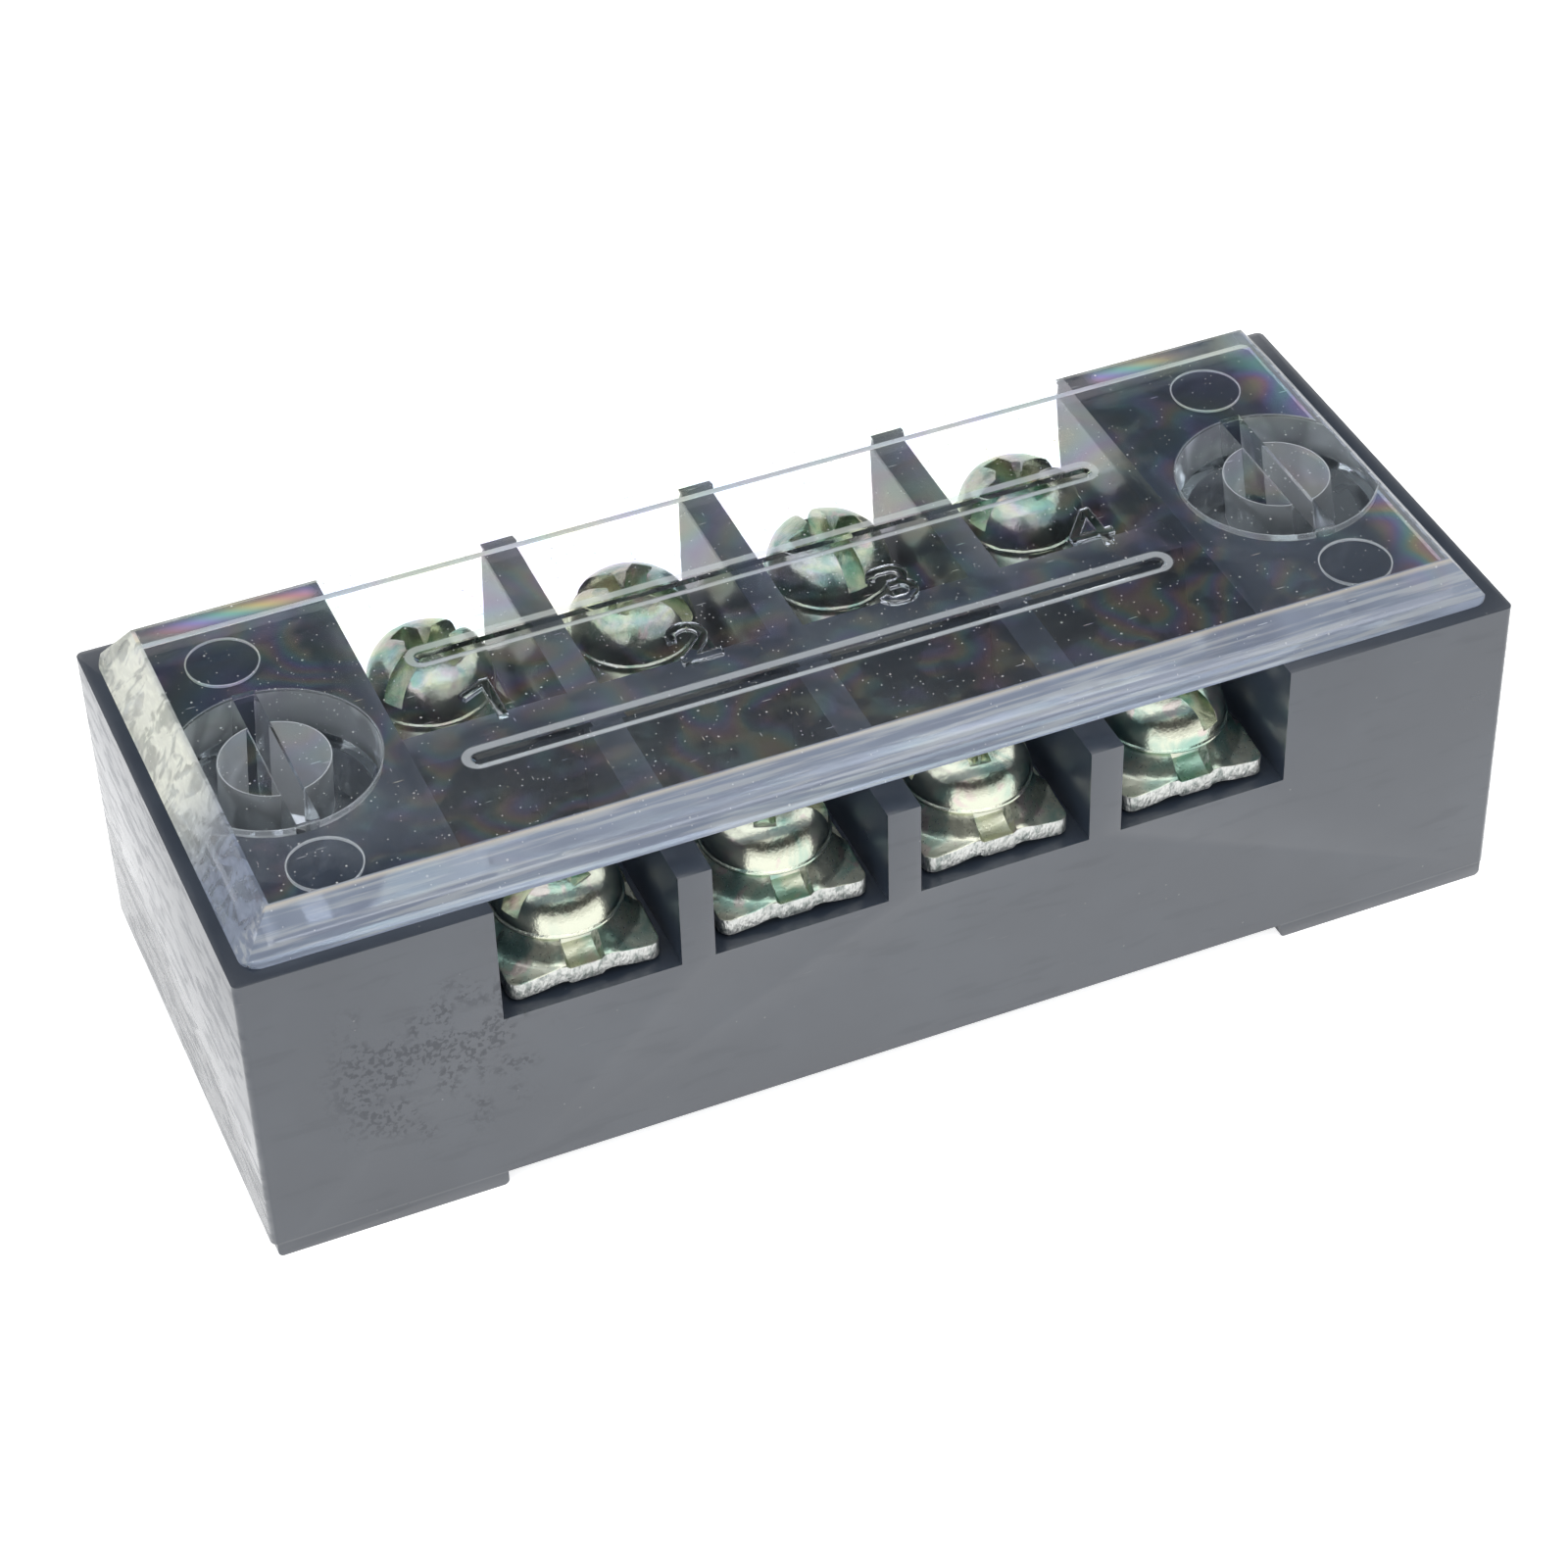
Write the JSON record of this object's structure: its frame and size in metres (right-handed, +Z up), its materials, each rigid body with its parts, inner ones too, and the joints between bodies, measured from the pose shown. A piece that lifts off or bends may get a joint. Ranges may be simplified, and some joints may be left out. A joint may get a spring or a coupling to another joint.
{
  "type": "barrier terminal strip",
  "caption": "Barrier terminal strip: screw terminals in walled pockets on a moulded base, under a clear press-on cover with split plug sleeves.",
  "frame": {"origin": "under the middle of the base, on the plane that its two end feet stand on", "axes": "+X along the row of poles from pole 1 to pole 4, +Y from the front face to the back, +Z up through the cover"},
  "size_m": [0.055, 0.022, 0.0166],
  "materials": {
    "base_plastic": "dark blue-grey moulded thermoset, satin",
    "clear_plastic": "clear moulded polycarbonate, polished with fine scratches",
    "screw_zinc": "yellow-green iridescent zinc plate",
    "washer_zinc": "yellow-green iridescent zinc plate, bright sheared edges",
    "contact_metal": "plated brass strip"
  },
  "bodies": {
    "base": {"base_housing": "base_plastic", "contact_bar_1": "contact_metal", "contact_bar_2": "contact_metal", "contact_bar_3": "contact_metal", "contact_bar_4": "contact_metal"},
    "cover": {"clear_cover": "clear_plastic"},
    "clamp_washer_front_1": {"clamp_washer_front_1": "washer_zinc"},
    "screw_front_1": {"screw_front_1": "screw_zinc"},
    "clamp_washer_front_2": {"clamp_washer_front_2": "washer_zinc"},
    "screw_front_2": {"screw_front_2": "screw_zinc"},
    "clamp_washer_front_3": {"clamp_washer_front_3": "washer_zinc"},
    "screw_front_3": {"screw_front_3": "screw_zinc"},
    "clamp_washer_front_4": {"clamp_washer_front_4": "washer_zinc"},
    "screw_front_4": {"screw_front_4": "screw_zinc"},
    "clamp_washer_rear_1": {"clamp_washer_rear_1": "washer_zinc"},
    "screw_rear_1": {"screw_rear_1": "screw_zinc"},
    "clamp_washer_rear_2": {"clamp_washer_rear_2": "washer_zinc"},
    "screw_rear_2": {"screw_rear_2": "screw_zinc"},
    "clamp_washer_rear_3": {"clamp_washer_rear_3": "washer_zinc"},
    "screw_rear_3": {"screw_rear_3": "screw_zinc"},
    "clamp_washer_rear_4": {"clamp_washer_rear_4": "washer_zinc"},
    "screw_rear_4": {"screw_rear_4": "screw_zinc"}
  },
  "joints": [
    {"name": "cover_lift", "type": "slide", "parent": "base", "child": "cover", "axis": [0, 0, 1], "range_m": [0, 0.008]},
    {"name": "clamp_washer_front_1_rise", "type": "slide", "parent": "base", "child": "clamp_washer_front_1", "axis": [0, 0, 1], "range_m": [0, 0.00125]},
    {"name": "screw_front_1_turn", "type": "hinge", "parent": "clamp_washer_front_1", "child": "screw_front_1", "pos_m": [-0.0134, -0.00715, 0.01108], "axis": [0, 0, 1], "range_deg": [0, 900]},
    {"name": "clamp_washer_front_2_rise", "type": "slide", "parent": "base", "child": "clamp_washer_front_2", "axis": [0, 0, 1], "range_m": [0, 0.00125]},
    {"name": "screw_front_2_turn", "type": "hinge", "parent": "clamp_washer_front_2", "child": "screw_front_2", "pos_m": [-0.00447, -0.00715, 0.01108], "axis": [0, 0, 1], "range_deg": [0, 900]},
    {"name": "clamp_washer_front_3_rise", "type": "slide", "parent": "base", "child": "clamp_washer_front_3", "axis": [0, 0, 1], "range_m": [0, 0.00125]},
    {"name": "screw_front_3_turn", "type": "hinge", "parent": "clamp_washer_front_3", "child": "screw_front_3", "pos_m": [0.00447, -0.00715, 0.01108], "axis": [0, 0, 1], "range_deg": [0, 900]},
    {"name": "clamp_washer_front_4_rise", "type": "slide", "parent": "base", "child": "clamp_washer_front_4", "axis": [0, 0, 1], "range_m": [0, 0.00125]},
    {"name": "screw_front_4_turn", "type": "hinge", "parent": "clamp_washer_front_4", "child": "screw_front_4", "pos_m": [0.0134, -0.00715, 0.01108], "axis": [0, 0, 1], "range_deg": [0, 900]},
    {"name": "clamp_washer_rear_1_rise", "type": "slide", "parent": "base", "child": "clamp_washer_rear_1", "axis": [0, 0, 1], "range_m": [0, 0.00125]},
    {"name": "screw_rear_1_turn", "type": "hinge", "parent": "clamp_washer_rear_1", "child": "screw_rear_1", "pos_m": [-0.0134, 0.00715, 0.01108], "axis": [0, 0, 1], "range_deg": [0, 900]},
    {"name": "clamp_washer_rear_2_rise", "type": "slide", "parent": "base", "child": "clamp_washer_rear_2", "axis": [0, 0, 1], "range_m": [0, 0.00125]},
    {"name": "screw_rear_2_turn", "type": "hinge", "parent": "clamp_washer_rear_2", "child": "screw_rear_2", "pos_m": [-0.00447, 0.00715, 0.01108], "axis": [0, 0, 1], "range_deg": [0, 900]},
    {"name": "clamp_washer_rear_3_rise", "type": "slide", "parent": "base", "child": "clamp_washer_rear_3", "axis": [0, 0, 1], "range_m": [0, 0.00125]},
    {"name": "screw_rear_3_turn", "type": "hinge", "parent": "clamp_washer_rear_3", "child": "screw_rear_3", "pos_m": [0.00447, 0.00715, 0.01108], "axis": [0, 0, 1], "range_deg": [0, 900]},
    {"name": "clamp_washer_rear_4_rise", "type": "slide", "parent": "base", "child": "clamp_washer_rear_4", "axis": [0, 0, 1], "range_m": [0, 0.00125]},
    {"name": "screw_rear_4_turn", "type": "hinge", "parent": "clamp_washer_rear_4", "child": "screw_rear_4", "pos_m": [0.0134, 0.00715, 0.01108], "axis": [0, 0, 1], "range_deg": [0, 900]}
  ],
  "couplings": [
    {"joint": "screw_front_1_turn", "follows": "clamp_washer_front_1_rise", "rad_per_m": 12566},
    {"joint": "screw_front_2_turn", "follows": "clamp_washer_front_2_rise", "rad_per_m": 12566},
    {"joint": "screw_front_3_turn", "follows": "clamp_washer_front_3_rise", "rad_per_m": 12566},
    {"joint": "screw_front_4_turn", "follows": "clamp_washer_front_4_rise", "rad_per_m": 12566},
    {"joint": "screw_rear_1_turn", "follows": "clamp_washer_rear_1_rise", "rad_per_m": 12566},
    {"joint": "screw_rear_2_turn", "follows": "clamp_washer_rear_2_rise", "rad_per_m": 12566},
    {"joint": "screw_rear_3_turn", "follows": "clamp_washer_rear_3_rise", "rad_per_m": 12566},
    {"joint": "screw_rear_4_turn", "follows": "clamp_washer_rear_4_rise", "rad_per_m": 12566}
  ]
}
